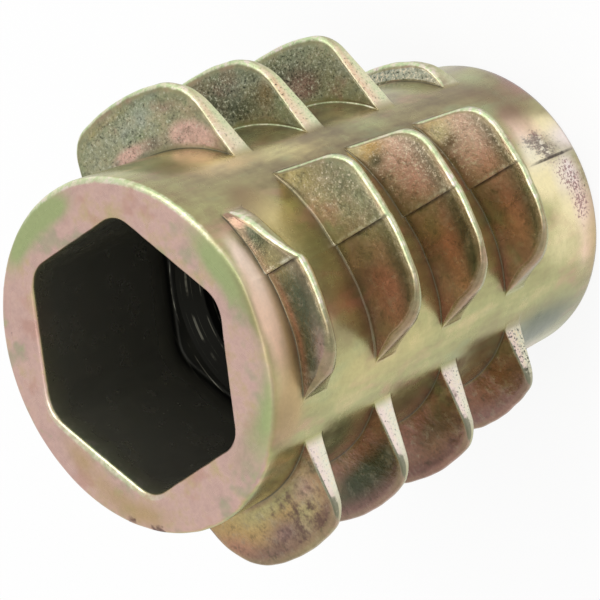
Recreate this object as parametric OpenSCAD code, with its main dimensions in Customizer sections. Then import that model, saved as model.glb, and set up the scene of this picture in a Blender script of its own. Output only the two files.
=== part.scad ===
// Threaded insert for wood: a die-cast nut with a hex socket at the drive end,
// an internal machine thread and four columns of coarse external fins that
// follow a right-hand helix. It stands on its pilot end, with the axis on Z and
// the drive face on top. The two halves of the die parted on the XZ plane, so
// the columns on the X axis are split fins and those on the Y axis are whole.

/* [Core] */
// Height from the pilot end to the drive face
length = 13; // [11:0.5:20]
// Diameter of the drive face
drive_d = 8.65; // [8.3:0.05:10]
// Diameter of the core at the pilot end
pilot_d = 7.5; // [6.8:0.05:8.2]
// Radius of the two outer rims
rim_r = 0.15; // [0.05:0.05:0.3]

/* [Hex socket] */
// Width across the flats of the socket
hex_af = 6; // [5.2:0.1:6.4]
// Depth of the socket from the drive face
hex_depth = 4.6; // [4.2:0.1:6]
// Radius in the corners of the socket
hex_corner_r = 0.8; // [0.3:0.1:1]
// Width of the bevel round the mouth of the socket
mouth_bevel = 0.08; // [0.04:0.02:0.2]

/* [Internal thread] */
// Diameter at the crests of the internal thread, 5 for M6
minor_d = 5; // [4.2:0.1:5.1]
// Width of the bevel where the thread leaves the pilot end
exit_bevel = 0.5; // [0.2:0.1:0.8]

/* [External fins] */
// Axial advance of the fins in one turn
pitch = 2.6; // [2.2:0.1:3.4]
// Height of a full fin above the core
fin_h = 1.62; // [1.2:0.02:2]
// Thickness of a fin where it meets the core
fin_root = 0.62; // [0.5:0.02:0.8]
// Thickness of a fin at its crest
fin_crest = 0.26; // [0.16:0.02:0.4]
// Depth of the first fin's middle below the drive face
first_fin = 1.26; // [1.1:0.02:2]
// Plain length left below the last fin's middle
pilot_plain = 1.9; // [1.5:0.1:4]
// Angle from a column's middle to the leading ends of its fins
lead_a = 31; // [28:1:36]
// Angle from a column's middle to the trailing ends of the whole fins
trail_a = 44; // [40:1:46]
// Angle from a column's middle to the trailing ends of the split fins
split_trail_a = 41; // [38:1:46]
// Corner radius at the crest of a leading end
lead_corner_r = 0.6; // [0.3:0.1:1]
// Corner radius at the crest of a trailing end
trail_corner_r = 1.4; // [0.8:0.1:1.5]
// Draft angle of the fin ends
end_draft = 12; // [8:1:14]
// Slope of the drive side on the trailing half of a split fin
trail_slope = 8; // [5:1:9]
// Step between the die halves on a split fin
die_step = 0.05; // [0.02:0.01:0.1]
// Height of the first fin as a share of a full one
lead_in = 0.6; // [0.4:0.02:0.9]
// Angle from the first column's middle to the foot of the lead-in ramp
ramp_a = 24; // [14:1:28]
// Share of the height lost from fin to fin at the run-out
run_out = 0.2; // [0.1:0.01:0.22]

/* [Hidden] */
$fn = 96;
SLACK = 1;
// how far the circle of a rounded corner stands out of the faces beside it
PROUD = 0.01;
drive_r = drive_d / 2;
pilot_r = pilot_d / 2;
bore_r = minor_d / 2;
column_rise = pitch / 4;
last_fin = floor((length - first_fin - pilot_plain) / column_rise);
// columns over which the height runs out
run_out_fins = 3.4;
plan_h = pitch;
lead_rise = pitch * lead_a / 360;
trail_rise = pitch * split_trail_a / 360;
// the blades are tilted to the helix angle at mid height
fin_tilt = atan(pitch / (PI * (drive_r + pilot_r + fin_h)));

// radius of the core at a depth below the drive face
function core_r(depth) = drive_r + (pilot_r - drive_r) * depth / length;

// depth of the middle of fin i below the drive face
function fin_depth(i) = first_fin + i * column_rise;

// share of the full height that fin i has
function fin_share(i) =
    i == 0 ? lead_in : 1 - run_out * max(0, i - last_fin + run_out_fins);

// height of a blade's face at radius r
function face_z(face, core, crest, r) =
    face[0] + (face[1] - face[0]) * (r - core) / (crest - core);

// quarter of a rim, between its two tangents
module rim_quarter(x, y, top) {
    intersection() {
        translate([x, y]) circle(r = rim_r);
        translate([x, top ? y : y - rim_r]) square(rim_r);
    }
}

// half section of the solid core
module core_section() {
    polygon([
        [0, 0],
        [pilot_r - rim_r, 0],
        [pilot_r - rim_r, rim_r],
        [pilot_r, rim_r],
        [drive_r, length - rim_r],
        [drive_r - rim_r, length - rim_r],
        [drive_r - rim_r, length],
        [0, length]
    ]);
    rim_quarter(pilot_r - rim_r, rim_r, false);
    rim_quarter(drive_r - rim_r, length - rim_r, true);
}

// distance from the hex's centre to the centre of a rounded corner
function corner_reach(af, corner_r) = (af / 2 - corner_r + PROUD) / cos(30);

// hexagon with two corners on the X axis and every corner rounded
module hex_outline(af, corner_r) {
    reach = corner_reach(af, corner_r);
    inset = corner_r - PROUD;
    polygon([
        for (a = [0 : 60 : 300], side = [-30, 30])
            reach * [cos(a), sin(a)] + inset * [cos(a + side), sin(a + side)]
    ]);
    for (a = [0 : 60 : 300])
        rotate(a) translate([reach, 0]) circle(r = corner_r);
}

// the hex socket, with a cone at its floor that runs into the thread
module socket() {
    floor_z = length - hex_depth;
    cone_h = hex_af / 2 - bore_r;
    translate([0, 0, floor_z])
        linear_extrude(hex_depth + SLACK) hex_outline(hex_af, hex_corner_r);
    translate([0, 0, floor_z - cone_h])
        cylinder(h = cone_h, r1 = bore_r, r2 = hex_af / 2);
    mouth();
}

// The bevel round the mouth of the socket, along the flats and the corners. The
// cutters start below the bevel, inside the socket.
module mouth() {
    reach = corner_reach(hex_af, hex_corner_r);
    dip = hex_corner_r / 2;
    rise = mouth_bevel + SLACK;
    for (a = [0 : 60 : 300])
        rotate(a) translate([0, 0, length - mouth_bevel]) {
            translate([reach, 0, -dip])
                cylinder(h = dip + rise, r1 = hex_corner_r - dip, r2 = hex_corner_r + rise);
            rotate([90, 0, 30])
                linear_extrude(reach, center = true)
                    polygon([
                        [0, -dip],
                        [hex_af / 2 - dip, -dip],
                        [hex_af / 2 + rise, rise],
                        [0, rise]
                    ]);
        }
}

// the bore at the thread's crests, with its bevel at the pilot end
module bore() {
    translate([0, 0, -SLACK]) cylinder(h = length, r = bore_r);
    translate([0, 0, -SLACK])
        cylinder(h = exit_bevel + SLACK, r1 = bore_r + exit_bevel + SLACK, r2 = bore_r);
}

// Plan of one half of a fin, from the X axis round to its end. The end is a
// drafted flat that meets the crest in a rounded corner.
module half_plan(core, crest, end_a, corner_r) {
    outward = [cos(end_draft), -sin(end_draft)];
    normal = [sin(end_draft), cos(end_draft)];
    foot = core * [cos(end_a), sin(end_a)];
    inset = corner_r - PROUD;
    start = foot - inset * normal;
    along = start * outward;
    run = sqrt(along * along - start * start + pow(crest - inset, 2)) - along;
    centre = start + run * outward;
    polygon([
        [0, 0],
        [centre[0], 0],
        centre,
        centre + inset * normal,
        foot - SLACK / 2 * outward
    ]);
    translate(centre) circle(r = corner_r);
    intersection() {
        circle(r = crest);
        polygon([[0, 0], [2 * crest, 0], 2 * centre / centre[0] * crest]);
    }
}

// plan of the half of a fin that leads, on the helix, towards the drive face
module lead_plan(core, crest) {
    half_plan(core, crest, lead_a, lead_corner_r);
}

// plan of the half that trails towards the pilot end
module trail_plan(core, crest, end_a) {
    mirror([0, 1]) half_plan(core, crest, end_a, trail_corner_r);
}

// plan of the ramp on which the first fin climbs from the core
module ramp_plan(core, crest) {
    polygon([[0, 0], [crest, 0], core * [cos(ramp_a), sin(ramp_a)]]);
}

// Blade turned about Z: its faces are drafted cones. Each face is given as its
// height at the core and at the crest.
module blade(core, crest, upper, lower) {
    near = core - SLACK / 2;
    far = crest + SLACK;
    rotate_extrude()
        polygon([
            [near, face_z(lower, core, crest, near)],
            [far, face_z(lower, core, crest, far)],
            [far, face_z(upper, core, crest, far)],
            [near, face_z(upper, core, crest, near)]
        ]);
}

// Fin of the columns on the Y axis. Both its faces follow the helix.
module whole_fin(core, crest) {
    intersection() {
        linear_extrude(plan_h, center = true) {
            lead_plan(core, crest);
            trail_plan(core, crest, trail_a);
        }
        rotate([fin_tilt, 0, 0])
            blade(core, crest, [fin_root / 2, fin_crest / 2], [-fin_root / 2, -fin_crest / 2]);
    }
}

// Fin of the columns on the X axis, in two halves that leave the die sideways.
// The face that would be undercut on the helix is level on each half.
module split_fin(core, crest, first) {
    top = fin_root / 2 + lead_rise;
    tip = (top - fin_root / 2) / 2;
    tip_top = tip + fin_crest / 2;
    tip_bottom = tip - fin_crest / 2;
    intersection() {
        linear_extrude(plan_h, center = true) {
            if (first) ramp_plan(core, crest);
            else lead_plan(core, crest);
        }
        blade(core, crest, [top, tip_top], [-fin_root / 2, tip_bottom]);
    }
    translate([0, 0, -die_step])
        intersection() {
            linear_extrude(plan_h, center = true) trail_plan(core, crest, split_trail_a);
            blade(core, crest, [top, tip_top], [-fin_root / 2 - trail_rise, tip_bottom]);
            translate([0, 0, top])
                rotate([trail_slope, 0, 0])
                    translate([0, -crest, -plan_h]) cube([crest, 2 * crest, plan_h]);
        }
}

module fins() {
    for (i = [0 : last_fin]) {
        depth = fin_depth(i);
        core = core_r(depth);
        crest = core + fin_h * fin_share(i);
        translate([0, 0, length - depth])
            rotate(-90 * i) {
                if (i % 2 == 0) split_fin(core, crest, i == 0);
                else whole_fin(core, crest);
            }
    }
}

module insert() {
    color("darkkhaki")
    difference() {
        union() {
            rotate_extrude() core_section();
            fins();
        }
        socket();
        bore();
    }
}

insert();
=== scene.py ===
import math

import bpy
import numpy as np
from mathutils import Matrix, Vector


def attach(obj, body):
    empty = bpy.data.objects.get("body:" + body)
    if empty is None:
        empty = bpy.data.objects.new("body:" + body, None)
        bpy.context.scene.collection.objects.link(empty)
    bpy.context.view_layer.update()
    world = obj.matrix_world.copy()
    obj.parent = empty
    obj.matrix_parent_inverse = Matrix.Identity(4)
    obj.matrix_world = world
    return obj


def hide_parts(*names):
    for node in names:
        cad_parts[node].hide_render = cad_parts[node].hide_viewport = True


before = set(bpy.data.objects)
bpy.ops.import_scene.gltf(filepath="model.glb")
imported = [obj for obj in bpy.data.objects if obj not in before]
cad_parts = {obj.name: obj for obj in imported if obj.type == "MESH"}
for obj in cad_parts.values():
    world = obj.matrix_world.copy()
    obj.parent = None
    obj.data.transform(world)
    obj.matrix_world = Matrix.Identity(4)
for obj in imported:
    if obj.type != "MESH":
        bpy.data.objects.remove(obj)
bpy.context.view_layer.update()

# The core. The insert is one pressure die casting in zinc alloy: a barrel that
# tapers from the drive face down to the pilot end on which it stands. The two
# halves of the die part on the plane of X and Z and leave a fine flash line.

mm = 0.001
length = 13.0
drive_r = 4.325
pilot_r = 3.75
rim_round = 0.19

# the rim swells a little over the parting line, and a stretch of it is rubbed
rim_swelling = 0.13
swelling_at = 4
swelling_width = 11
rubbed_at = 62
rubbed_width = 54

# the flash is thickest near the pilot end
flash_height = 0.02
flash_width = 0.6
thick_flash = 2
thick_flash_z = 1.1
thick_flash_reach = 0.8

# Four columns of fins, 90 degrees apart: those on X lie over the parting line and
# are split, those on Y are whole. The fins are worn and filled a little unevenly, so
# each has its own crest radius, ends and end corners, from the top fin down. Ends
# are angles from a column's middle, and lead and trail are where its grid ends them.
fin_columns = [
    dict(
        at=0, split=True, lead=32.0, trail=41.0, crests=[5.24, 5.75, 5.64, 5.43],
        leads=[24.0, 32.0, 32.0, 32.0], lead_corners=[0.6, 0.9, 0.9, 1.0],
        trails=[41.0] * 4, trail_corners=[1.4] * 4,
    ),
    dict(
        at=-90, split=False, lead=32.3, trail=43.5, crests=[5.83, 5.65, 5.55, 5.07],
        leads=[32.3, 32.3, 32.3, 34.0], lead_corners=[0.8, 0.8, 0.8, 0.6],
        trails=[41.2, 43.5, 43.5, 43.5], trail_corners=[1.7, 1.4, 1.4, 1.4],
    ),
    dict(
        at=180, split=True, lead=32.0, trail=41.0, crests=[5.78, 5.70, 5.57, 4.70],
        leads=[32.0] * 4, lead_corners=[0.6] * 4,
        trails=[41.0] * 4, trail_corners=[1.4] * 4,
    ),
    dict(
        at=90, split=False, lead=30.8, trail=44.3, crests=[5.77, 5.69, 5.62, 4.28],
        leads=[28.2, 30.8, 30.8, 30.8], lead_corners=[0.7, 0.6, 0.6, 0.6],
        trails=[44.3, 44.3, 45.0, 44.3], trail_corners=[1.4, 1.4, 0.9, 1.4],
    ),
]


def core_r(z):
    """Radius of the tapered core at a height."""
    return pilot_r + (drive_r - pilot_r) * z / length


def marks(*stretches):
    """Angles along stretches of (from, to, steps), without the last end."""
    return np.concatenate([np.linspace(a, b, n + 1)[:-1] for a, b, n in stretches])


def turn_from(place, angles):
    """How far angles lie round from a place, from -180 to 180 degrees."""
    return (angles - place + 180) % 360 - 180


# The skin is one grid, with a line of points down the casting for each angle. The
# lines are closest at the ends of the fins and on both sides of the parting line.
# psi is a line's angle from the middle of its column.
column_from = -51
column_to = column_from + 90
middle_from, middle_to = -14, 12
near_end = 6
past_end = 1.4
near_parting = 2
parting = 0.1
angles, column_of, psi = [], [], []
for c in (0, 3, 2, 1):
    fin = fin_columns[c]
    lead, trail = fin["lead"], fin["trail"]
    if fin["split"]:
        middle = marks(
            (middle_from, -near_parting, 7),
            (-near_parting, -parting, 3),
            (-parting, parting, 1),
            (parting, near_parting, 3),
            (near_parting, middle_to, 7),
        )
    else:
        middle = marks((middle_from, middle_to, 21))
    behind = marks(
        (column_from, -trail - past_end, 2),
        (-trail - past_end, -trail, 4),
        (-trail, -trail + near_end, 12),
        (-trail + near_end, middle_from, 31),
    )
    ahead = marks(
        (middle_to, lead - near_end, 22),
        (lead - near_end, lead, 12),
        (lead, lead + past_end, 4),
        (lead + past_end, column_to, 2),
    )
    around = np.concatenate([behind, middle, ahead])
    angles.append(around + (fin["at"] + 360) % 360)
    psi.append(around)
    column_of.append(np.full(len(around), c))
angles, psi, column_of = np.concatenate(angles), np.concatenate(psi), np.concatenate(column_of)
count = len(angles)
dice = np.random.default_rng(11)


def wander(size, slow=4, fast=40):
    """A closed line round the casting that is uneven by up to a given size."""
    wave = sum(
        dice.uniform(0.3, 1) * np.sin(k * np.radians(angles) + dice.uniform(0, math.tau))
        for k in range(slow, fast)
    )
    return size * wave / np.abs(wave).max()


def point(height, z):
    """Points of a section, as height above the core and place along the axis."""
    return np.stack(np.broadcast_arrays(height, z, angles)[:2], axis=-1).astype(float)


def line(a, b, steps):
    """Points strictly between two."""
    return [a + (b - a) * t for t in np.linspace(0, 1, steps + 2)[1:-1]]


# a bend takes up less than half of the straight on each side of it
bend_share = 0.46


def bend(before, corner, after, reach, reach_out=None, steps=5):
    """Points round a corner of a section, as a smooth bend."""
    to_before, to_after = before - corner, after - corner
    len_in = np.linalg.norm(to_before, axis=-1, keepdims=True) + 1e-9
    len_out = np.linalg.norm(to_after, axis=-1, keepdims=True) + 1e-9
    reach = np.broadcast_to(reach, count)[:, None]
    reach_out = reach if reach_out is None else np.broadcast_to(reach_out, count)[:, None]
    a = corner + to_before / len_in * np.minimum(reach, bend_share * len_in)
    b = corner + to_after / len_out * np.minimum(reach_out, bend_share * len_out)
    return [
        (1 - t) ** 2 * a + 2 * t * (1 - t) * corner + t**2 * b
        for t in np.linspace(0, 1, steps)
    ]


# Each row has its points, how far they are rubbed bare, which side of a fin they are
# on (1 for its drive side, -1 for its pilot side), how tall the whole fin is, and how
# far they are in the root of a fin, where shade is painted, or on its end.
rows = []


def lay(points, worn=0.0, side=0.0, full=1.5, root=0.0, end=0.0):
    """Add rows of points to the section, from the drive face down."""
    rows.extend((p, *np.broadcast_arrays(worn, side, full, root, end, angles)[:5]) for p in points)


rim_wear = (0.1, 0.7, 0.85, 0.7, 0.2)
rim_inward = 0.6
rim_down = 0.5
rim_waviness = 0.008
rim_dip = 0.004
least_rubbed = 0.05
rim_in = point(-rim_inward, length)
swelling = rim_swelling * np.exp(-((turn_from(swelling_at, angles) / swelling_width) ** 2))
rim_edge = point(wander(rim_waviness) - rim_waviness + swelling, length - rim_dip)
under_rim = point(0, length - rim_down)
rim_rows = bend(rim_in, rim_edge, under_rim, rim_round)
rubbing = np.exp(-((turn_from(rubbed_at, angles) / rubbed_width) ** 4))
rubbing = least_rubbed + (1 - least_rubbed) * rubbing
for rim, rim_worn in zip(rim_rows, rim_wear):
    lay([rim], rim_worn * rubbing)

# The fins. Each is a blade on a right-hand helix of 2.6 mm pitch, thick at the root
# and thin at the crest. Its ends are drafted so that the die can open, and on the
# parting line its two halves meet in a small step.

pitch = 2.6
first_fin = 1.26
fins_in_column = 4
root_thick = 0.62
crest_thick = 0.26
end_draft = math.radians(12)
helix_slope = math.tan(math.radians(4.9))
foot_round = 0.06
fuller_edge = 1.35

# the split fins have thinner crests, set low, and a slope down to the trailing end
split_crest = 0.17
split_drop = 0.085
trail_slope = math.tan(math.radians(8))
die_step = 0.06
crest_step = 0.02

# the first fin's top is set low and slopes less, and its ramp bulges to a thin crest
ramp_sink = 0.13
ramp_crest = 0.12
ramp_sag = 0.35
ramp_bulge = 0.13

# where a fin meets the core, and past its ends, where its rows spread out
foot_run = 0.3
spread_angle = 5


def end_r(angle, core, crest, end, corner):
    """Radius of half a fin's outline, at angles from its middle towards its end."""
    out = np.array([math.cos(end_draft), -math.sin(end_draft)])
    normal = np.array([math.sin(end_draft), math.cos(end_draft)])
    foot = core * np.array([math.cos(end), math.sin(end)])
    start = foot - corner * normal
    along = start @ out
    run = math.sqrt(along**2 - start @ start + (crest - corner) ** 2) - along
    centre = start + run * out
    tangent = centre + corner * normal
    u = np.stack([np.cos(angle), np.sin(angle)])
    face = (normal @ foot) / np.maximum(normal @ u, 0.05)
    across = centre @ u
    arc = across + np.sqrt(np.maximum(across**2 - centre @ centre + corner**2, 0))
    r = np.where(angle < math.atan2(centre[1], centre[0]), crest, arc)
    return np.where(angle > math.atan2(tangent[1], tangent[0]), face, r)


def ramp_r(angle, core, crest, foot):
    """Outline of the ramp on which the first fin climbs out of the core."""
    fx, fy = core * math.cos(foot), core * math.sin(foot)
    bulge = ramp_bulge * np.sin(np.pi * np.clip(angle / foot, 0, 1) ** 2)
    return bulge + crest * fy / (fy * np.cos(angle) + (crest - fx) * np.sin(angle))


def above_zero(x, ease):
    """The greater of x and nothing, eased over a short way."""
    return np.where(np.abs(x) < ease, (x + ease) ** 2 / (4 * ease), np.maximum(x, 0))


def across_gaps(values, lead, trail):
    """From the end of one fin, run evenly to the start of the next."""
    solid = (psi >= -trail - 0.01) & (psi <= lead + 0.01)
    around = np.concatenate([angles[solid] - 360, angles[solid], angles[solid] + 360])
    return np.where(solid, values, np.interp(angles, around, np.tile(values[solid], 3)))


def blank():
    """A value for each line of the grid, still to be filled in."""
    return np.zeros(count)


column_at = np.array([fin["at"] for fin in fin_columns])[column_of]
on_whole_fins = np.array([not fin["split"] for fin in fin_columns])[column_of]
for slot in range(fins_in_column):
    root_top, root_low, tip_top, tip_low = blank(), blank(), blank(), blank()
    height, full, lead, trail, top_round, low_round, bare = [blank() for _ in range(7)]
    for c, fin in enumerate(fin_columns):
        mine = column_of == c
        place = psi[mine]
        first = slot == 0 and c == 0
        last_at_90 = slot == 3 and fin["at"] == 90
        middle = length - first_fin - (4 * slot + c) * pitch / 4
        lead[mine], trail[mine] = fin["leads"][slot], fin["trails"][slot]
        lead_end, trail_end = math.radians(fin["leads"][slot]), math.radians(fin["trails"][slot])
        side = np.radians(place)
        core, crest = core_r(middle), fin["crests"][slot]
        full[mine] = crest - core
        if first:
            leading = ramp_r(side, core, crest, lead_end)
        else:
            leading = end_r(side, core, crest, lead_end, fin["lead_corners"][slot])
        trailing = end_r(-side, core, crest, trail_end, fin["trail_corners"][slot])
        height[mine] = above_zero(np.where(side > 0, leading, trailing) - core, foot_round)
        a = np.clip(side, -trail_end, lead_end)
        if fin["split"]:
            top = root_thick / 2 + pitch * math.radians(fin["lead"]) / math.tau
            bottom = root_thick / 2 + pitch * trail_end / math.tau
            tip = (top - root_thick / 2) / 2 - split_drop
            thick = split_crest
            if first:
                top -= ramp_sink
                tip += np.interp(place, [-2, 4], [0, split_drop])
                thick = np.interp(place, [-2, 4], [split_crest, ramp_crest])
            sag_root = np.minimum(0, core * np.sin(a) * trail_slope) * (ramp_sag if first else 1)
            sag_tip = np.minimum(0, top - tip - thick / 2 + crest * np.sin(a) * trail_slope)
            behind = side < 0
            root_top[mine] = middle + top + np.where(behind, sag_root - die_step, 0)
            root_low[mine] = middle - np.where(behind, bottom + die_step, root_thick / 2)
            tip_top[mine] = middle + tip + thick / 2 + np.where(behind, sag_tip - crest_step, 0)
            tip_low[mine] = middle + tip - thick / 2 - np.where(behind, crest_step, 0)
            # how round the crest's two edges are and how far they are rubbed, end to end
            top_round[mine] = np.interp(place, [-34, -20, 22], [0.36, 0.09, 0.12])
            low_round[mine] = np.interp(place, [-34, -20, 22, 30], [0.25, 0.10, 0.11, 0.06])
            bare[mine] = np.interp(place, [-33, -24, -16, -6], [0, 0.2, 0.55, 1])
        else:
            for face, at_core, at_crest in ((1, root_top, tip_top), (-1, root_low, tip_low)):
                at_core[mine] = middle + face * root_thick / 2 + core * np.sin(a) * helix_slope
                at_crest[mine] = middle + face * crest_thick / 2 + crest * np.sin(a) * helix_slope
            top_round[mine] = np.interp(np.abs(place), [22, 34], [0.11, 0.05])
            low_round[mine] = np.interp(np.abs(place), [22, 34], [0.12, 0.05])
            bare[mine] = 1
            if fin["at"] == 90:
                top_round[mine] *= fuller_edge
            if fin["at"] == -90:
                bare[mine] = np.interp(place, [0, 26, 32], [0.1, 0.2, 0.6])
            # the last fin at 90 degrees is thinner and less rubbed towards its leading end
            if last_at_90:
                bare[mine] = np.interp(place, [12, 24], [1, 0.3])
                thinner = np.interp(place, [8, 28], [0, 0.4])
                root_low[mine] += thinner
                tip_low[mine] += thinner * 0.4
    share = np.clip(height / full, 0, 1)
    root_top, root_low, tip_top, tip_low = [
        across_gaps(v + wander(0.012), lead, trail) for v in (root_top, root_low, tip_top, tip_low)
    ]
    height = height + share * (wander(0.014, fast=60) - 0.008)
    foot_top, foot_low = point(0, root_top), point(0, root_low)
    on_ramp = (column_at == 0) & (slot == 0) & (psi > 0)
    crest_top = point(height, root_top + (tip_top - root_top) * np.where(on_ramp, 1, share))
    crest_low = point(height, root_low + (tip_low - root_low) * share)
    above, below = point(0, root_top + foot_run), point(0, root_low - foot_run)
    # most fins have a dark line at the foot, painted shade in the crease, but one is open there
    # and two are rubbed
    open_foot = (column_at == 0) & (slot == 1)
    pale_foot = (column_at == 90) & (slot in (1, 2))
    foot_reach = np.where(open_foot, 0.06, np.where(pale_foot, 0.05, 0.03))
    top_foot = bend(above, foot_top, crest_top, foot_reach)
    top_edge = bend(foot_top, crest_top, crest_low, np.minimum(top_round, 0.04 + 0.3 * height))
    low_edge = bend(crest_top, crest_low, foot_low, low_round, steps=4)
    low_foot = bend(crest_low, foot_low, below, 0.09, 0.08, steps=4)
    end_face = np.clip((1 - share) * 2.5, 0, 1)
    on_crest = bare * np.where(on_ramp, np.interp(psi, [10, 18], [0.6, 1]), 1)
    top_worn = [0.1 * bare, 0.6 * bare, 0.95 * bare, 0.8 * bare, 0.55 * on_crest]
    low_worn = [0.4 * on_crest, 0.15 * on_crest, blank(), blank()]
    ends = end_face * on_whole_fins
    flat = blank()
    foot_shade = (1 - open_foot * np.where(psi > 0, 0.6, 0.3)) * (1 - 0.75 * pale_foot)
    shade_in_foot = [amount * foot_shade for amount in (0.3, 0.8, 1, 0.8, 0.3)]
    foot_worn = [amount * pale_foot for amount in (0.25, 0.6, 0.68, 0.6, 0)]
    parts = [
        (top_foot, foot_worn, 0.5, shade_in_foot, flat),
        (line(top_foot[-1], top_edge[0], 8), 0.0, 1.0, 0.0, flat),
        (top_edge, top_worn, 0.5, 0.0, [flat, 0.3 * ends, 0.6 * ends, ends, ends]),
        (low_edge, low_worn, -0.5, 0.0, [ends, ends, 0.5 * ends, flat]),
        (line(low_edge[-1], low_foot[0], 3), 0.0, -1.0, 0.0, flat),
        (low_foot, 0.0, -0.5, 0.0, flat),
    ]
    # past its ends a fin's rows spread out evenly over the bare core
    section = [p for points, *_ in parts for p in points]
    past = np.maximum(psi - lead, -trail - psi)
    spread = np.where(height > 0, 0, 0.04 + 0.96 * np.clip(past / spread_angle, 0, 1) ** 2)
    evenly = np.linspace(section[0][:, 1], section[-1][:, 1], len(section))
    for p, z in zip(section, evenly):
        p[:, 1] += (z - p[:, 1]) * spread
    before = rows[-1][0]
    lay(line(before, section[0], 3))
    rubbed = np.clip(share * 10, 0, 1)
    for points, worn, face, root, ends in parts:
        shape = (len(points), count)
        marks_on = [np.broadcast_to(v, shape) * rubbed for v in (worn, face, root, ends)]
        for p, w, f, r, e in zip(points, *marks_on):
            lay([p], w, f, full, r, e)

# The pilot end, on which the insert stands: a small radius, a flat ring, and a
# bevel where the thread comes out.

bore_r = 2.5
exit_bevel = 0.5
pilot_edge = point(0, 0)
above_pilot = point(0, 0.5)
ring_in = point(bore_r + exit_bevel - pilot_r, 0)
pilot_bend = bend(above_pilot, pilot_edge, ring_in, rim_round, steps=4)
lay(line(rows[-1][0], pilot_bend[0], 6))
lay(pilot_bend, worn=0.2)
lay(line(pilot_bend[-1], ring_in, 2) + [ring_in])
bevel_top = point(bore_r - core_r(exit_bevel), exit_bevel)
lay(line(ring_in, bevel_top, 2) + [bevel_top])
outer_rows = rows

# The hex socket for a key: straight walls with rounded corners, two of them on X,
# and a cone at the floor that leads the screw into the thread.

hex_af = 6.0
hex_corner = 0.8
hex_floor = length - 4.6
mouth_round = 0.12
floor_step = 0.1

# the socket sits a little off the axis, and its mouth is rubbed on one side
hex_shift = 0.07
hex_shift_to = 156
mouth_rubbed_at = 210
mouth_rubbed_width = 36
thread_top = hex_floor - (hex_af / 2 - bore_r)

off_flat = np.radians(np.abs(angles % 60 - 30))
corner_at = (hex_af / 2 - hex_corner) / math.cos(math.radians(30))
across = corner_at * np.cos(math.radians(30) - off_flat)
arc = across + np.sqrt(np.maximum(across**2 - corner_at**2 + hex_corner**2, 0))
flat_end = math.atan2(corner_at / 2, hex_af / 2)
hex_r = np.where(off_flat < flat_end, hex_af / 2 / np.cos(off_flat), arc)
hex_r += hex_shift * np.cos(np.radians(angles - hex_shift_to))

rows = []
face_edge = outer_rows[0][0]
mouth = point(hex_r + wander(0.006) - drive_r, length)
mouth_worn = 0.3 + 0.4 * np.exp(-((turn_from(mouth_rubbed_at, angles) / mouth_rubbed_width) ** 4))
wall_foot = point(hex_r - core_r(hex_floor), hex_floor)
floor_edge = point(hex_af / 2 - floor_step - core_r(hex_floor), hex_floor)
bore_mouth = point(bore_r - core_r(thread_top), thread_top)
mouth_bend = bend(face_edge, mouth, wall_foot, mouth_round)
floor_bend = bend(mouth, wall_foot, floor_edge, 0.1, steps=4)
lay(line(face_edge, mouth_bend[0], 5))
lay(mouth_bend, worn=mouth_worn)
lay(line(mouth_bend[-1], floor_bend[0], 6) + floor_bend + [floor_edge])
lay(line(floor_edge, bore_mouth, 3) + [bore_mouth])
socket_rows = rows[::-1]
skin_rows = socket_rows + outer_rows

# The internal thread, cut by a tap after casting: M6, right-hand, 1 mm pitch. Its
# grid is coarser than the skin, which closes onto it at both ends of the bore.

thread_pitch = 1.0
thread_depth = 0.5
thread_run_out = 0.7
thread_gap = 0.05
every = 4
thread_angles = angles[::every]
thread_z = np.linspace(thread_top - thread_gap, exit_bevel + thread_gap, 120)[:, None]
phase = (thread_z / thread_pitch - thread_angles / 360) % 1.0
groove = np.interp(phase, [0, 0.22, 0.53, 0.69, 1], [0, 0, 1, 1, 0])
fade = np.clip(np.minimum(thread_top - thread_z, thread_z - exit_bevel) / thread_run_out, 0, 1)
thread_r = bore_r + thread_depth * groove * fade


def turned(r, z, at):
    """Points in metres from radius, place on the axis and angle."""
    r, z, a = np.broadcast_arrays(r, z, np.radians(at))
    return np.stack([r * np.cos(a), r * np.sin(a), z], axis=-1).reshape(-1, 3) * mm


def sheet_faces(n_rows, n_cols, first):
    """Faces between the rows of a grid that closes on itself."""
    i = np.arange(n_cols)
    k = (i + 1) % n_cols
    faces = []
    for a in range(first, first + (n_rows - 1) * n_cols, n_cols):
        faces += np.stack([a + i, a + n_cols + i, a + n_cols + k, a + k], axis=1).tolist()
    return faces


def closing_faces(fine, coarse):
    """Join a ring of points to a ring that has fewer."""
    faces = []
    for m, here in enumerate(coarse):
        after = coarse[(m + 1) % len(coarse)]
        arc = [fine[(m * every + k) % len(fine)] for k in range(every + 1)]
        faces += [(arc[k], here, arc[k + 1]) for k in range(every // 2)]
        faces.append((arc[every // 2], here, after))
        faces += [(arc[k], after, arc[k + 1]) for k in range(every // 2, every)]
    return faces


section, worn, side, fin_height, root, end = [np.stack(parts) for parts in zip(*skin_rows)]
rise, z = section[..., 0], section[..., 1]
from_parting = np.minimum(np.abs((angles + 90) % 180 - 90), 90)
flash = flash_height * np.exp(-((from_parting / flash_width) ** 2))
flash = flash * (1 + thick_flash * np.exp(-(((z - thick_flash_z) / thick_flash_reach) ** 2)))
outside = np.arange(len(skin_rows))[:, None] >= len(socket_rows)
on_core = outside & (rise > -0.02) & (z < length - 0.3)
flash = np.where(on_core, flash * np.clip(1 - rise / 0.2, 0, 1), 0)
tall = rise / np.maximum(fin_height, 0.5)
skin_points = turned(core_r(z) + rise + flash, z, angles)
thread_points = turned(thread_r, thread_z, thread_angles)

coarse = len(thread_angles)
thread_first = len(skin_points)
thread_last = thread_first + len(thread_points) - coarse
top_ring = list(range(count))
foot_ring = [len(skin_points) - count + i for i in range(count)]
faces = sheet_faces(len(section), count, 0)
faces += [f[::-1] for f in sheet_faces(len(thread_z), coarse, thread_first)]
faces += [f[::-1] for f in closing_faces(top_ring, range(thread_first, thread_first + coarse))]
faces += closing_faces(foot_ring, range(thread_last, thread_last + coarse))

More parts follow.
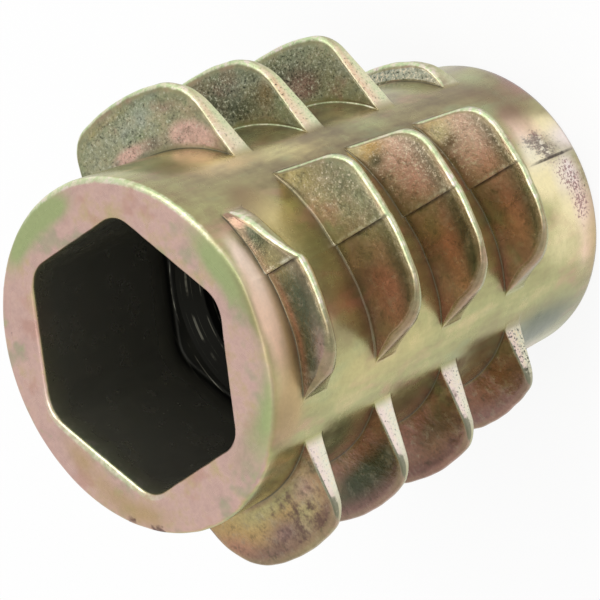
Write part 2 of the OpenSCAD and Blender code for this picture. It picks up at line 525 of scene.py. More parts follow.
sharp_angle = 50
mesh = bpy.data.meshes.new("insert_casting")
mesh.from_pydata(np.concatenate([skin_points, thread_points]).tolist(), [], faces)
mesh.shade_smooth()
mesh.set_sharp_from_angle(angle=math.radians(sharp_angle))
casting = bpy.data.objects.new("insert_casting", mesh)
bpy.context.scene.collection.objects.link(casting)
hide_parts("insert")
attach(casting, "root")

# The finish: yellow chromate, a dip that leaves a clear film whose thickness shows
# as colour, from brown and olive through yellow-green and gold to pink and green.
# It is thin and rubbed on the edges, and burnt reddish brown between the fins.

# where the face ends at the rim, and where the inside's painted shade begins, first dull
# grey and then the black of the thread
face_depth = 0.12
face_fade = 0.1
under_face = 0.06
mouth_fade = 0.1
over_floor = 0.5
floor_fade = 0.35

# the parting line's dark seam across the split fins and on the plain pilot end, painted
# shadow under the die's step, and the pale lip beside it, in degrees from the line
split_reach = 60
seam_at, seam_width = -0.35, 0.45
low_seam_at, low_seam_width = -0.5, 0.6
lip_at, lip_width = 0.6, 0.6
plain_top = 2.2

everywhere = np.concatenate([skin_points, thread_points]) / mm
at = np.degrees(np.arctan2(everywhere[:, 1], everywhere[:, 0]))
up = everywhere[:, 2]
out = np.hypot(everywhere[:, 0], everywhere[:, 1])
in_thread = np.zeros(len(thread_points))
worn, side, tall, root, end = [
    np.concatenate([v.ravel(), in_thread]) for v in (worn, side, tall, root, end)
]
# inside the casting the colour is painted shade, darkest in the thread below the socket's floor
hollow = np.concatenate([np.where(outside, 0, 1).repeat(count).astype(float), in_thread + 1])
hollow *= np.clip((length - under_face - up) / mouth_fade, 0, 1)
deep = hollow * np.clip((hex_floor + over_floor - up) / floor_fade, 0, 1)
on_face = np.clip((up - length + face_depth) / face_fade, 0, 1)
on_flank = np.clip(side * 2 - 0.6, 0, 1)
on_shank = (1 - on_face) * (1 - on_flank)
from_step = (at + 90) % 180 - 90
split_fins = (np.abs(from_step) < split_reach) * on_flank
plain_end = on_shank * np.clip((plain_top - up) / 0.5, 0, 1) * np.clip(up / 0.3, 0, 1)
plain_end *= np.abs(at) < split_reach
seam = split_fins * np.exp(-(((from_step - seam_at) / seam_width) ** 2))
seam += plain_end * np.exp(-(((from_step - low_seam_at) / low_seam_width) ** 2))
lip = split_fins * np.exp(-(((from_step - lip_at) / lip_width) ** 2))


def patch(angle, z, wide, tall, r=4.0, deep=9.0):
    """A soft patch round an angle, height and radius, by its reach from each of them."""
    away = turn_from(angle, at)
    return np.exp(-((away / wide) ** 2) - ((up - z) / tall) ** 2 - ((out - r) / deep) ** 2)


# Layers of the finish say how much of each mark there is at a point. Fin ends are
# bright, two of them less so. The film has a thickness, and it is burnt on the flanks.
end = end * (1 - 0.9 * patch(56, 2, 26, 0.7) - 0.25 * patch(60, 10, 26, 0.9))
# between the columns at 0 and 90 degrees the film is set thinner and browner, painted shade on that side of
# the shank
film = on_shank * (0.28 - 0.17 * patch(36, 7, 20, 9)) + on_face * 0.72
burn = 0.52 - 0.36 * patch(90, 6, 40, 9) - 0.18 * patch(14, 9.9, 16, 1.0) + 0.14 * patch(-24, 6, 18, 4)
burn += 0.26 * patch(-90, 5.5, 40, 4) + 0.1 * patch(-90, 11.3, 40, 0.8)

# dark and pale grain where the metal filled the die unevenly, and bright specks that are
# painted glints
grit = 0.08 + 1.0 * patch(90, 6.0, 46, 3.0) * on_flank + 0.45 * patch(90, 9.9, 40, 1.0) * on_flank
grit += 0.8 * patch(90, 2.0, 46, 0.7) * on_flank
grit += 0.3 * patch(14, 9.7, 14, 1.0) * on_flank
grit += 1.0 * patch(5, 1.2, 7, 0.6) + 0.8 * patch(-13, 0.45, 10, 0.5)
grit += end * (0.4 + 0.9 * patch(-58, 3.5, 20, 0.7) + 0.3 * patch(-58, 6.2, 20, 0.7))
glint = 1.0 * patch(14, 5.6, 16, 2.0) * on_flank + 0.4 * patch(14, 9.7, 14, 1.0) * on_flank
glint += 0.55 * end + 0.9 * patch(90, 2, 44, 0.7) * on_flank + 0.3 * patch(3, 1.2, 12, 1.2)

# dirt on the outer edge of the face and on the fins at -90 degrees
on_outer_edge = np.clip((out - 3.95) * 6, 0, 1)
grime = (1.3 * patch(-130, 13, 3, 0.3) + 1.3 * patch(-119, 13, 4, 0.3)) * on_outer_edge
grime += 1.2 * patch(149, 13, 3, 9, 3.95, 0.12)
grime += (0.85 * patch(-88, 11.3, 28, 0.9) + 0.8 * patch(-66, 7, 14, 4)) * on_flank
grime += 0.6 * patch(-86, 6, 30, 4, 5.3, 0.4) * on_flank
grime += end * 0.5 * patch(-58, 6.2, 20, 0.7)

# pits near the pilot end, and a scuff there on both sides of the parting line
pits = 0.9 * patch(7, 1.2, 9, 0.5) + 1.1 * patch(-8, 0.75, 7, 0.4) + 1.1 * patch(-20, 0.6, 11, 0.4)
pits += 0.5 * patch(30, 0.2, 14, 0.3) + 0.4 * patch(90, 9.6, 40, 0.6, 4.4, 0.3)
scuff = 1.0 * patch(3, 1.0, 8, 0.45) + 0.8 * patch(8, 1.5, 8, 0.45)

# how rough it is, and how far it is still bright metal
on_rim = np.exp(-(((up - length + 0.07) / 0.12) ** 2)) * (out > 4.0)
rough = 0.22 + 0.4 * np.maximum(grit, glint) + 0.12 * worn + 0.25 * deep
rough += 0.25 * on_rim * (1 - patch(62, 13, 46, 9))
rough += (0.28 * patch(-16, 12.5, 24, 0.45) + 0.08 * patch(0, 0.9, 26, 0.9)) * on_shank
metal = 0.9 - (0.8 * patch(-2, 12.55, 18, 0.4) + 0.35 * patch(7, 0.7, 15, 1.0)) * on_shank

# the warm tone of the column at 90 degrees, and a dark line on the ends near -60 degrees,
# painted shade along their drive-side edge
warm = patch(90, 7, 60, 9)
brink = 2.2 * np.clip(1 - np.abs(end - 0.42) * 2.2, 0, 1) * (end > 0.02) * np.clip(side * 2, 0, 1)
brink *= np.clip(tall * 2, 0.2, 1) * patch(-60, 7, 36, 9)

# painted light and shade on the flanks, fin by fin: darker deep between the fins at -90
# degrees, lighter on the split fins at 0 degrees
shade = 0.74 + 0.1 * patch(90, 9.8, 60, 0.9) + 0.26 * patch(0, 6, 60, 3.8) + 0.2 * patch(90, 2, 60, 0.8)
shade += 0.13 * patch(106, 9.9, 16, 0.9) + 0.1 * patch(90, 4.8, 40, 0.9)
shade += 0.16 * patch(16, 5.9, 14, 1.8) + 0.12 * patch(-18, 4.3, 14, 0.7)
shade += 0.08 * patch(78, 10, 12, 0.8) - 0.12 * patch(-87, 6.1, 12, 0.6, 5.4, 0.3)
shade -= 0.14 * patch(-88, 6, 30, 4.4, 5.5, 0.45) + 0.12 * patch(-82, 8.6, 20, 0.8, 5.0, 0.4)
shade -= 0.12 * patch(-86, 4.6, 26, 1.9, 4.9, 0.5)

# Stains on the finish, with painted highlights and painted shade among them, painted one
# over another. Each has its colour, its strength, its angle and height, its reach round
# (in degrees) and along the casting, and its radius with its reach outward. A reach of 9 mm
# covers the whole of a surface.
cream = (1.0, 0.93, 0.74)
straw = (0.72, 0.60, 0.28)
gold = (0.88, 0.60, 0.24)
lemon = (0.98, 0.86, 0.50)
blush = (0.84, 0.54, 0.46)
peach = (1.0, 0.70, 0.54)
coral = (0.96, 0.56, 0.42)
citron = (0.82, 0.76, 0.36)
pink = (1.0, 0.76, 0.72)
sage = (0.46, 0.53, 0.25)
ochre = (0.60, 0.42, 0.21)
rust = (0.80, 0.40, 0.27)
brick = (0.66, 0.36, 0.29)
rose = (0.95, 0.62, 0.50)
shell = (1.0, 0.89, 0.86)
plum = (0.36, 0.21, 0.20)
russet = (0.46, 0.20, 0.10)
moss = (0.15, 0.17, 0.10)
umber = (0.24, 0.16, 0.09)
olive = (0.36, 0.33, 0.15)
apricot = (1.0, 0.70, 0.52)
buff = (1.0, 0.80, 0.66)
ash = (0.66, 0.69, 0.55)
stains_and_light = (
    (on_face, (
        # green stretches, and darker ones towards the socket and the rim
        (sage, 1.0, 110, 13, 16, 9, 4.1, 0.4),
        (sage, 1.0, 92, 13, 12, 9, 3.95, 0.35),
        (sage, 0.95, 10, 13, 17, 9, 4.05, 0.5),
        (sage, 0.65, -42, 13, 20, 9, 4.15, 0.36),
        (olive, 0.5, -14, 13, 12, 9, 4.25, 0.25),
        (sage, 0.4, -50, 13, 12, 9, 3.75, 0.5),
        (ochre, 0.6, -128, 13, 24, 9, 3.9, 0.5),
        (ochre, 0.5, -158, 13, 16, 9, 3.5, 0.4),
        (plum, 0.25, 62, 13, 14, 9, 3.6, 0.5),
        (plum, 0.22, -15, 13, 10, 9, 3.5, 0.4),
        (olive, 0.3, -68, 13, 12, 9, 3.6, 0.4),
        (umber, 0.45, -16, 12.97, 28, 0.1, 4.3, 0.09),
    )),
    (on_flank, (
        # the fins at 90 degrees
        (moss, 0.8, 79, 10, 4, 0.7, 4.4, 0.25),
        (rose, 1.0, 65, 10, 8, 0.7, 4.52, 0.34),
        (rose, 1.0, 90, 10, 8, 0.7, 4.46, 0.22),
        (rose, 0.9, 60, 10, 6, 0.7, 4.4, 0.34),
        (brick, 1.0, 77, 4.8, 6, 0.9, 4.5, 0.3),
        (rose, 0.9, 79, 4.8, 4, 0.9, 4.48, 0.2),
        (ochre, 0.8, 63, 7.3, 4, 0.9, 4.8, 0.35),
        (moss, 0.35, 73, 7.4, 5, 0.9, 4.45, 0.25),
        (ochre, 0.7, 66, 7.3, 9, 0.9, 4.17, 0.1),
        (moss, 0.6, 92, 7.4, 34, 0.9, 4.7, 0.6),
        (moss, 0.6, 92, 4.8, 34, 0.9, 4.7, 0.65),
        (plum, 0.45, 72, 10, 6, 0.7, 5.2, 0.2),
        (straw, 0.6, 100, 10, 24, 0.7, 5.6, 0.25),
        # the fins at -90 degrees, from the top one down
        (gold, 1.0, -96, 11.3, 34, 0.8, 4.9, 0.9),
        (blush, 0.7, -74, 11.3, 6, 0.8, 4.7, 0.4),
        (citron, 0.9, -90, 11.3, 16, 0.8, 4.5, 0.14),
        (citron, 0.5, -100, 11.3, 7, 0.8, 4.65, 0.2),
        (plum, 0.5, -101, 11.3, 8, 0.8, 5.45, 0.2),
        (blush, 0.8, -91, 11.3, 7, 0.8, 5.2, 0.2),
        (citron, 0.7, -79, 11.3, 6, 0.8, 5.05, 0.2),
        (rust, 0.9, -112, 11.3, 8, 0.8, 5.3, 0.3),
        (lemon, 0.5, -83, 11.3, 5, 0.8, 5.35, 0.2),
        (plum, 0.7, -90, 11.3, 6, 0.8, 5.1, 0.3),
        (plum, 0.6, -70, 11.3, 6, 0.8, 5.5, 0.25),
        (plum, 0.6, -96, 11.3, 22, 0.8, 5.6, 0.25),
        (olive, 0.6, -80, 11.3, 8, 0.8, 4.35, 0.2),
        (moss, 0.95, -82, 8.6, 22, 0.8, 5.0, 0.55),
        (brick, 0.9, -92, 8.6, 26, 0.8, 5.6, 0.3),
        (plum, 0.45, -92, 8.6, 26, 0.8, 5.6, 0.3),
        (umber, 0.7, -76, 5.9, 20, 0.9, 4.7, 0.5),
        (brick, 0.9, -88, 5.9, 24, 0.9, 5.4, 0.35),
        (gold, 0.25, -84, 5.9, 8, 0.9, 5.2, 0.3),
        (russet, 0.6, -88, 6.0, 20, 0.9, 5.3, 0.35),
        (plum, 0.75, -90, 5.9, 26, 0.9, 5.5, 0.35),
        (brick, 0.7, -84, 3.5, 16, 0.9, 4.5, 0.4),
        (umber, 0.6, -76, 3.4, 20, 0.9, 4.7, 0.7),
        (russet, 0.8, -82, 3.6, 14, 0.9, 4.4, 0.4),
        (brick, 0.9, -84, 3.4, 24, 0.9, 5.0, 0.3),
        (plum, 0.4, -86, 3.4, 26, 0.9, 5.0, 0.35),
        # the leading halves of the split fins at 0 degrees, from the top down
        # the moss out near the crests paints the dark reflection there, and the lemon and gold near the
        # roots paint light into the shadow of the fin above
        (moss, 0.5, 14, 9.7, 12, 0.9, 5.1, 0.5),
        (straw, 0.8, 26, 9.7, 9, 0.9, 4.5, 0.5),
        (peach, 0.7, 18, 7.1, 14, 0.9, 4.9, 0.6),
        (gold, 1.0, 25, 7.1, 5, 0.9, 4.5, 0.4),
        (lemon, 1.0, 29, 7.1, 4, 0.9, 4.18, 0.26),
        (moss, 0.85, 20, 7.1, 2.2, 0.9, 4.36, 0.24),
        (coral, 0.9, 9, 7.0, 8, 0.9, 4.8, 0.4),
        (moss, 0.6, 10, 7.1, 10, 0.9, 5.35, 0.2),
        (peach, 0.8, 16, 4.6, 14, 0.9, 4.7, 0.6),
        (gold, 0.8, 27, 4.6, 4, 0.9, 4.5, 0.4),
        (lemon, 1.0, 21.5, 4.6, 4.5, 0.9, 4.22, 0.3),
        (umber, 0.9, 16.8, 4.5, 2.2, 0.9, 4.27, 0.26),
        (coral, 0.9, 6, 4.4, 6, 0.9, 4.65, 0.35),
        (peach, 0.8, 13, 4.4, 4, 0.9, 4.8, 0.3),
        (moss, 0.8, 9, 4.6, 12, 0.9, 5.2, 0.22),
        # their trailing halves, from the first fin down
        # the moss on the first fin paints its shade, and the moss out near the other crests the dark
        # reflection there
        (moss, 1.0, -16, 12, 22, 0.8, 4.55, 0.65),
        (moss, 1.0, 12, 12, 5, 0.8, 4.6, 0.2),
        (blush, 0.8, -28, 12, 8, 0.8, 4.95, 0.18),
        (straw, 0.5, 3, 12.2, 6, 0.6, 4.7, 0.3),
        (rust, 0.6, -18, 12, 16, 0.8, 4.36, 0.1),
        (rust, 0.9, -18, 9.4, 13, 0.9, 4.9, 0.55),
        (moss, 0.4, -14, 9.4, 6, 0.9, 4.4, 0.3),
        (rust, 0.8, -18, 6.8, 13, 0.9, 4.9, 0.4),
        (moss, 0.9, -18, 6.8, 18, 0.9, 5.3, 0.28),
        (rust, 0.8, -12, 4.3, 12, 0.9, 4.7, 0.4),
        (moss, 0.7, -20, 4.3, 16, 0.9, 5.2, 0.2),
        (moss, 0.7, -16, 9.4, 18, 0.9, 5.45, 0.2),
        # the last fin at 90 degrees
        (ash, 0.95, 90, 2.0, 50, 0.6, 4.05, 0.4),
    )),
    (on_shank, (
        # under the rim, beside the first fin, where the apricot and buff paint a highlight
        (apricot, 1.0, -12, 12.6, 17, 0.36, 4.3, 9),
        (buff, 0.95, 5, 12.5, 10, 0.3, 4.3, 9),
        (ochre, 0.8, -22, 12.2, 20, 0.16, 4.3, 9),
        (ochre, 0.8, -42, 12.4, 13, 0.45, 4.3, 9),
        (umber, 0.5, -44, 12.5, 9, 0.5, 4.3, 9),
        (umber, 0.2, -18, 12.89, 28, 0.06, 4.3, 9),
        (straw, 0.7, -84, 11.9, 14, 0.5, 4.3, 9),
        # between the columns at 0 and 90 degrees
        (citron, 0.9, 58, 10.5, 10, 0.5, 4, 9),
        (gold, 0.7, 72, 10.4, 8, 0.4, 4, 9),
        (umber, 0.4, 52, 11.7, 12, 0.8, 4, 9),
        (umber, 0.7, 26, 11.0, 8, 0.6, 4, 9),
        (lemon, 1.0, 53, 10.6, 10, 0.6, 4, 9),
        (ochre, 0.7, 43, 10.2, 5, 1.2, 4, 9),
        (straw, 0.6, 37, 8.1, 6, 0.9, 4, 9),
        (umber, 0.45, 44, 7.4, 5, 0.8, 4, 9),
        (citron, 0.5, 42, 8.8, 5, 0.7, 4, 9),
        (straw, 0.6, 53, 5.8, 5, 0.6, 4, 9),
        (umber, 0.4, 46, 2.2, 12, 1.2, 4, 9),
        (sage, 0.5, 40, 5.6, 8, 1.0, 4, 9),
        (umber, 0.3, 30, 4.4, 10, 1.0, 4, 9),
        (umber, 0.4, 18, 11.6, 8, 0.7, 4, 9),
        (straw, 0.7, 12, 10.8, 12, 0.7, 4, 9),
        (sage, 0.6, 55, 9.5, 6, 0.9, 4, 9),
        # between the split fins and on towards -90 degrees
        (ochre, 0.6, -14, 8.2, 12, 1, 4, 9),
        (sage, 0.5, -16, 10.3, 12, 0.5, 4, 9),
        (straw, 0.5, -40, 9, 12, 3, 4, 9),
        # the plain pilot end, where the cream, shell and lemon paint a highlight round 0 degrees
        # and the moss at -66 degrees paints shade
        (rose, 0.7, 14, 1.45, 8, 0.5, 3.8, 9),
        (cream, 1.0, 2, 1.6, 9, 0.4, 3.8, 9),
        (lemon, 1.0, 12, 0.5, 6, 0.45, 3.75, 9),
        (shell, 1.0, 5, 0.35, 6, 0.35, 3.75, 9),
        (lemon, 0.95, -8, 1.6, 8, 0.8, 3.8, 9),
        (lemon, 0.8, -21, 1.1, 8, 0.5, 3.8, 9),
        (shell, 0.95, -9, 0.7, 7, 0.4, 3.8, 9),
        (pink, 0.85, -21, 0.5, 9, 0.35, 3.8, 9),
        (lemon, 0.5, -32, 1.6, 12, 1.2, 3.8, 9),
        (peach, 0.5, -38, 0.6, 10, 0.3, 3.8, 9),
        (ochre, 0.6, -38, 0.1, 24, 0.25, 3.8, 9),
        (plum, 0.6, 12, 0.0, 40, 0.08, 3.8, 9),
        (plum, 0.9, 38, 0.1, 12, 0.16, 3.8, 9),
        (umber, 0.7, 22, 1.2, 5, 0.8, 3.8, 9),
        (umber, 0.5, 29, 1.0, 6, 0.6, 3.8, 9),
        (umber, 0.6, 37, 1.5, 7, 0.6, 3.8, 9),
        (umber, 0.5, 34, 0.4, 8, 0.35, 3.8, 9),
        (brick, 0.7, 31, 0.4, 5, 0.2, 3.8, 9),
        (sage, 0.45, 47, 0.9, 7, 0.5, 3.8, 9),
        (moss, 0.8, -66, 2.0, 14, 2.0, 3.8, 9),
    )),
)
stain = np.zeros((len(everywhere), 4))
for surface, places in stains_and_light:
    for tint, strength, angle, z, wide, high, r, reach in places:
        share = (surface * strength * patch(angle, z, wide, high, r, reach))[:, None]
        stain = stain * (1 - share) + np.array([*tint, 1]) * share
stain[:, :3] /= np.maximum(stain[:, 3:], 1e-4)

layers = dict(
    film=film, grit=grit, glint=glint, burn=burn, grime=grime, shade=shade, worn=worn, side=side, tall=tall,
    root=root, end=end, seam=seam, lip=lip, hollow=hollow, deep=deep, rough=rough, metal=metal,
    pits=pits, scuff=scuff, warm=warm, brink=brink, turning=(out + up) / 20,
)
for name, values in layers.items():
    layer = mesh.attributes.new(name, "FLOAT", "POINT")
    layer.data.foreach_set("value", np.clip(values, -1, 1).astype(np.float32))
layer = mesh.attributes.new("stain", "FLOAT_COLOR", "POINT")
layer.data.foreach_set("color", stain.astype(np.float32).ravel())


class Wire:
    """An output in a finish's node tree, on which sums are written in plain Python."""

    def __init__(self, socket):
        self.socket = socket

    @staticmethod
    def node(tree, kind, settings=None, inputs=None, out=0):
        """Add a node, make its settings, then fill its sockets with values or wires."""
        made = tree.nodes.new(kind)
        for name, value in (settings or {}).items():
            if name == "stops":
                elements = made.color_ramp.elements
                while len(elements) < len(value):
                    elements.new(1)
                for stop, (place, colour) in zip(elements, value):
                    stop.position, stop.color = place, (*colour, 1)
            else:
                setattr(made, name, value)
        for key, value in (inputs or {}).items():
            if isinstance(value, Wire):
                tree.links.new(value.socket, made.inputs[key])
            else:
                made.inputs[key].default_value = value
        return Wire(made.outputs[out])

    def maths(self, operation, *values):
        """A Math node on some values."""
        return Wire.node(
            self.socket.id_data, "ShaderNodeMath", {"operation": operation}, dict(enumerate(values))
        )

    def __add__(self, other):
        return self.maths("ADD", self, other)

    def __sub__(self, other):
        return self.maths("SUBTRACT", self, other)

    def __rsub__(self, other):
        return self.maths("SUBTRACT", other, self)

    def __mul__(self, other):
        return self.maths("MULTIPLY", self, other)

    __radd__ = __add__
    __rmul__ = __mul__

    def at_least(self, other):
        return self.maths("MAXIMUM", self, other)

    def between(self, low, high):
        """0 below the low value, 1 above the high one, eased in between."""
        return Wire.node(
            self.socket.id_data,
            "ShaderNodeMapRange",
            {"interpolation_type": "SMOOTHSTEP"},
            {"Value": self, "From Min": low, "From Max": high},
        )


zinc = bpy.data.materials.new("chromated_zinc")
zinc.use_nodes = True
tree = zinc.node_tree
shader = tree.nodes["Principled BSDF"]


def painted(name):
    """One of the casting's layers."""
    return Wire.node(tree, "ShaderNodeAttribute", {"attribute_name": name}, out="Fac")


def noise(scale, detail=2.0, roughness=0.5, stretch=(1, 1, 1)):
    """Noise with a given number of features to the millimetre."""
    size = [scale * s / mm for s in stretch]
    place = Wire.node(tree, "ShaderNodeTexCoord", out="Object")
    place = Wire.node(tree, "ShaderNodeMapping", inputs={"Vector": place, "Scale": size})
    inputs = {"Vector": place, "Scale": 1, "Detail": detail, "Roughness": roughness}
    return Wire.node(tree, "ShaderNodeTexNoise", inputs=inputs)


def blend(factor, below, above, kind="MIX"):
    """Lay one colour over another by a factor."""
    below = below if isinstance(below, Wire) else (*below, 1)
    above = above if isinstance(above, Wire) else (*above, 1)
    settings = {"data_type": "RGBA", "blend_type": kind}
    return Wire.node(tree, "ShaderNodeMix", settings, {0: factor, 6: below, 7: above}, out=2)


def ramp(value, *stops):
    """Colours along a value, as stops of a place and a colour."""
    return Wire.node(tree, "ShaderNodeValToRGB", {"stops": stops}, {"Fac": value})


# Unevenness at several scales, from the slow drift of the film to the metal's grain.
drift = noise(0.55, 3, 0.6, stretch=(1, 1, 0.4))
cloud = noise(0.83, 3, 0.65, stretch=(1, 1, 0.4))
mottle = noise(1.6, 3, 0.6)
drawn = noise(1.7, 3, 0.65, stretch=(1, 1, 0.16))
pebble = noise(3.2, 4, 0.75)
fine = noise(5, 3, 0.7)
crumb = noise(11, 1, 0.5)
grain = noise(13, 2, 0.8)

# The film, from thin to thick, and as it is burnt on the flanks.
thickness = painted("film") + (drift - 0.5) * 0.5 + (mottle - 0.5) * 0.35 + (drawn - 0.5) * 0.5
film_colour = ramp(
    thickness,
    (0.00, (0.22, 0.165, 0.09)),
    (0.14, (0.34, 0.285, 0.145)),
    (0.34, (0.46, 0.45, 0.205)),
    (0.48, (0.64, 0.54, 0.28)),
    (0.60, (0.72, 0.52, 0.35)),
    (0.70, (0.78, 0.53, 0.45)),
    (0.82, (0.70, 0.47, 0.41)),
    (0.96, (0.52, 0.55, 0.30)),
)
burnt_colour = ramp(
    painted("burn") + (drift - 0.5) * 0.6 + (mottle - 0.5) * 0.5,
    (0.10, (0.50, 0.53, 0.40)),
    (0.28, (0.48, 0.47, 0.28)),
    (0.46, (0.54, 0.41, 0.25)),
    (0.62, (0.57, 0.32, 0.23)),
    (0.85, (0.50, 0.23, 0.17)),
)
flank = painted("side").between(0.2, 0.9)
colour = blend(flank, film_colour, burnt_colour)

# Green and reddish clouds, a darker green near the crests that paints a reflection on
# the flanks, and then the stains with the painted light among them.
cloud_green = (0.36, 0.44, 0.24)
cloud_red = (0.62, 0.34, 0.26)
crest_reflection_green = (0.28, 0.33, 0.18)
stain_and_light_colour = Wire.node(tree, "ShaderNodeAttribute", {"attribute_name": "stain"}, out="Color")
strength = Wire(stain_and_light_colour.socket.node.outputs["Alpha"])
near_crest = painted("tall").between(0.55, 0.85)
colour = blend(cloud.between(0.45, 0.30) * 0.5, colour, cloud_green)
colour = blend(cloud.between(0.55, 0.70) * 0.5, colour, cloud_red)
colour = blend(flank * near_crest * 0.5, colour, crest_reflection_green)
colour = blend((strength * (drift * 0.7 + mottle * 0.7 + 0.3)).between(0.15, 0.8), colour, stain_and_light_colour)

# Pale and dark pebbling on the flanks, their painted light and shade, and the painted shade of a dark line
# in the crease at a fin's foot.
pebble_pale = (0.72, 0.62, 0.44)
pebble_dark = (0.13, 0.12, 0.07)
black = (0.0, 0.0, 0.0)
foot_shade = (0.09, 0.085, 0.055)
uneven_grey = (0.74, 0.74, 0.74)
white = (1.0, 1.0, 1.0)
colour = blend(flank * pebble.between(0.50, 0.68) * 0.35, colour, pebble_pale)
colour = blend(flank * pebble.between(0.47, 0.30) * 0.5, colour, pebble_dark)
colour = blend(flank, colour, blend(painted("shade"), black, colour))
colour = blend(painted("root") * 0.9, colour, foot_shade)
uneven = ramp(fine * 0.5 + crumb * 0.5, (0.34, uneven_grey), (0.66, white))
colour = blend(0.35 + 0.65 * flank, colour, blend(1.0, colour, uneven, "MULTIPLY"))

# Edges rubbed nearly bare, where the thin film looks pale green, yellow and pink.
rubbed_yellow = (0.90, 0.88, 0.62)
rubbed_pink = (0.96, 0.84, 0.76)
rubbed_green = (0.68, 0.83, 0.48)
rubbed = painted("worn") * (mottle * 0.7 + fine * 1.2 + 0.05)
rubbed_warm = blend(mottle.between(0.46, 0.62), rubbed_yellow, rubbed_pink)
rubbed_colour = blend(fine.between(0.44, 0.60), rubbed_green, rubbed_warm)
colour = blend(rubbed.between(0.3, 0.85) * 0.85, colour, rubbed_colour)

# The fins' ends, bright and thinly filmed, and warmer in the column at 90 degrees, with
# painted shade along the drive-side edge of those near -60 degrees.
end_cream = (0.93, 0.91, 0.75)
end_lime = (0.70, 0.79, 0.42)
end_blush = (1.0, 0.84, 0.78)
end_orange = (0.92, 0.62, 0.34)
end_pink = (1.0, 0.86, 0.80)
end_gold = (0.98, 0.84, 0.56)
brink_shade_colour = (0.16, 0.18, 0.11)
warm = painted("warm")
pilot_side = blend(warm, end_cream, end_lime)
drive_side = blend(warm, end_blush, end_orange)
end_colour = blend(painted("side").between(-0.3, 0.5), pilot_side, drive_side)
end_colour = blend(mottle.between(0.45, 0.65) * 0.6, end_colour, blend(warm, end_pink, end_gold))
colour = blend(painted("end") * 0.9, colour, end_colour)
brink = (painted("brink") * (0.5 + fine * 0.6 + mottle * 0.5)).between(0.35, 0.75)
colour = blend(brink * 0.8, colour, brink_shade_colour)

# Grain, painted glints, dirt, pits and the scuff.
grain_dark = (0.05, 0.055, 0.035)
grain_pale = (0.80, 0.80, 0.62)
glint_colour = (0.95, 0.82, 0.62)
dirt_brown = (0.14, 0.075, 0.065)
pit_red = (0.34, 0.18, 0.17)
scuff_dark = (0.22, 0.18, 0.17)
scuff_pale = (0.98, 0.92, 0.78)
speckle = (grain - 0.5) * painted("grit")
glints = (grain - 0.5) * painted("glint")
colour = blend((speckle * -7.0).between(0.1, 1.3), colour, grain_dark)
colour = blend((speckle * 8.0).between(0.2, 1.4) * 0.8, colour, grain_pale)
colour = blend((glints * 9.0).between(0.1, 1.0) * 0.85, colour, glint_colour)
dirt = (painted("grime") * noise(3.5, 3, 0.7)).between(0.35, 0.6)
colour = blend(dirt * 0.8, colour, dirt_brown)
pit = (painted("pits") * (noise(15, 2, 0.6) - 0.33)).between(0.12, 0.22)
colour = blend(pit * 0.8, colour, pit_red)
scrape = noise(10, 3, 0.75, stretch=(1, 1, 0.4))
colour = blend((painted("scuff") * scrape).between(0.34, 0.50) * 0.7, colour, scuff_dark)
colour = blend((painted("scuff") * (1 - scrape)).between(0.44, 0.58) * 0.8, colour, scuff_pale)

# The step of the die's halves across a split fin, a pale lip beside a dark seam of painted shadow.
lip_pale = (0.75, 0.72, 0.55)
seam_shadow_colour = (0.05, 0.035, 0.03)
colour = blend(painted("lip") * fine.between(0.4, 0.6) * 0.7, colour, lip_pale)
colour = blend((painted("seam") * (fine * 1.2 + 0.4)).between(0.2, 0.9) * 0.9, colour, seam_shadow_colour)

# Inside, the colour is painted shade: dull grey in the socket, black in the thread with marks of the tap.
socket_shade_grey = (0.40, 0.39, 0.32)
thread_shade_black = (0.014, 0.014, 0.012)
streaks = noise(0.6, 2, 0.5, stretch=(1, 1, 9)).between(0.55, 0.75)
colour = blend(painted("hollow") * (0.95 - 0.12 * streaks), colour, socket_shade_grey)
turned_marks = Wire.node(
    tree,
    "ShaderNodeTexNoise",
    {"noise_dimensions": "1D"},
    {"W": painted("turning") * 20, "Scale": 9, "Detail": 2, "Roughness": 0.6},
)
scratches = turned_marks.between(0.57, 0.66) * mottle.between(0.42, 0.6)
colour = blend(painted("deep") * (0.99 - 0.4 * scratches), colour, thread_shade_black)
tree.links.new(colour.socket, shader.inputs["Base Color"])
rough = painted("rough") + (mottle - 0.5) * 0.2
tree.links.new(rough.socket, shader.inputs["Roughness"])

# The finish's own relief is finer than the mesh.
relief_height = 0.03 * mm
relief = grain * painted("grit").at_least(painted("glint")) * 0.9 + mottle * 0.25 + fine * 0.1
relief = relief + pebble * flank * 1.2 + scrape * painted("scuff")
bump_inputs = {"Height": relief, "Strength": 0.5, "Distance": relief_height}
bump = Wire.node(tree, "ShaderNodeBump", inputs=bump_inputs)
tree.links.new(bump.socket, shader.inputs["Normal"])
tree.links.new(painted("metal").socket, shader.inputs["Metallic"])
mesh.materials.append(zinc)

# The floor is a wide pale table top on which the insert stands. It looks near white
# away from the insert, where the emission takes over, and keeps the shadow under it.

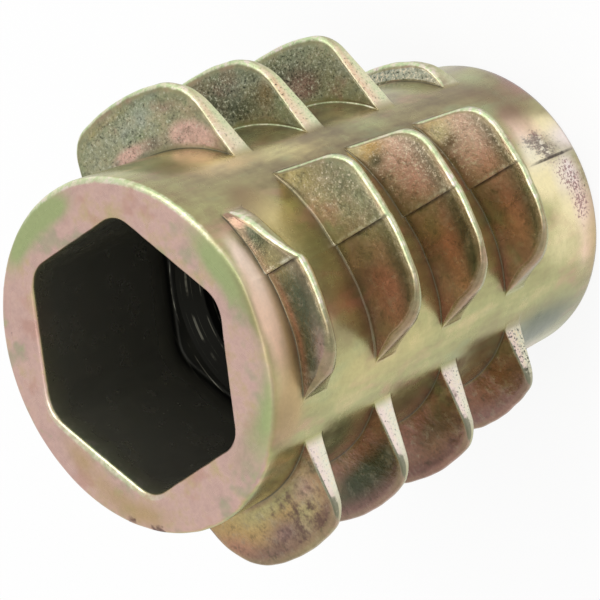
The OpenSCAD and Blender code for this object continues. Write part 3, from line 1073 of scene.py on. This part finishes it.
floor_reach = 2.0
floor_white = 0.88
shadow_in = 2.4 * mm
shadow_out = 3.7 * mm
table_mesh = bpy.data.meshes.new("studio_floor")
corners = [(x * floor_reach, y * floor_reach, 0) for x, y in ((-1, -1), (1, -1), (1, 1), (-1, 1))]
table_mesh.from_pydata(corners, [], [(0, 1, 2, 3)])
table = bpy.data.objects.new("studio_floor", table_mesh)
bpy.context.scene.collection.objects.link(table)
pale = bpy.data.materials.new("pale_floor")
pale.use_nodes = True
tree = pale.node_tree
paint = tree.nodes["Principled BSDF"]
paint.inputs["Base Color"].default_value = (0.9, 0.9, 0.9, 1)
paint.inputs["Roughness"].default_value = 0.9
ray = Wire.node(tree, "ShaderNodeLightPath", out="Is Camera Ray")
glossy = Wire(ray.socket.node.outputs["Is Glossy Ray"])
place = Wire.node(tree, "ShaderNodeTexCoord", out="Object")
from_axis = Wire.node(tree, "ShaderNodeVectorMath", {"operation": "LENGTH"}, {0: place}, out="Value")
open_floor = from_axis.between(shadow_in, shadow_out)
glow = Wire.node(tree, "ShaderNodeEmission", inputs={"Color": (1, 1, 1, 1), "Strength": 1.0})
seen = ray.at_least(glossy) * open_floor * floor_white
surface = Wire.node(tree, "ShaderNodeMixShader", inputs={0: seen, 1: Wire(paint.outputs[0]), 2: glow})
tree.links.new(surface.socket, tree.nodes["Material Output"].inputs["Surface"])
table_mesh.materials.append(pale)

# Soft studio light from all round, and two wide lamps: one above, one at the side.

world = bpy.data.worlds.new("studio_world")
bpy.context.scene.world = world
world.use_nodes = True
world.node_tree.nodes["Background"].inputs["Color"].default_value = (1, 1, 1, 1)
world.node_tree.nodes["Background"].inputs["Strength"].default_value = 0.72

for name, place, size, energy in (
    ("key_light", (0.05, 0.0, 0.15), 0.09, 0.07),
    ("side_light", (0.06, 0.11, 0.09), 0.09, 0.06),
):
    lamp = bpy.data.objects.new(name, bpy.data.lights.new(name, "AREA"))
    lamp.data.size = size
    lamp.data.energy = energy
    lamp.location = place
    lamp.rotation_euler = Vector(-lamp.location).to_track_quat("-Z", "Y").to_euler()
    bpy.context.scene.collection.objects.link(lamp)

# The camera looks down on the drive end, with a long lens, and is rolled so that the
# standing insert lies across its view.

view_right = (0.5913, -0.4737, -0.6527)
view_up = (0.3850, 0.8769, -0.2876)
view_back = (0.7086, -0.0812, 0.7009)
camera_place = (0.060139, -0.007221, 0.066809)
camera = bpy.data.objects.new("camera", bpy.data.cameras.new("camera"))
bpy.context.scene.collection.objects.link(camera)
turn = [list(row) for row in zip(view_right, view_up, view_back, camera_place)]
camera.matrix_world = Matrix(turn + [[0, 0, 0, 1]])
camera.data.lens = 210.8
camera.data.sensor_width = 36
camera.data.clip_start = 0.005
bpy.context.scene.camera = camera
bpy.context.scene.view_settings.view_transform = "Standard"
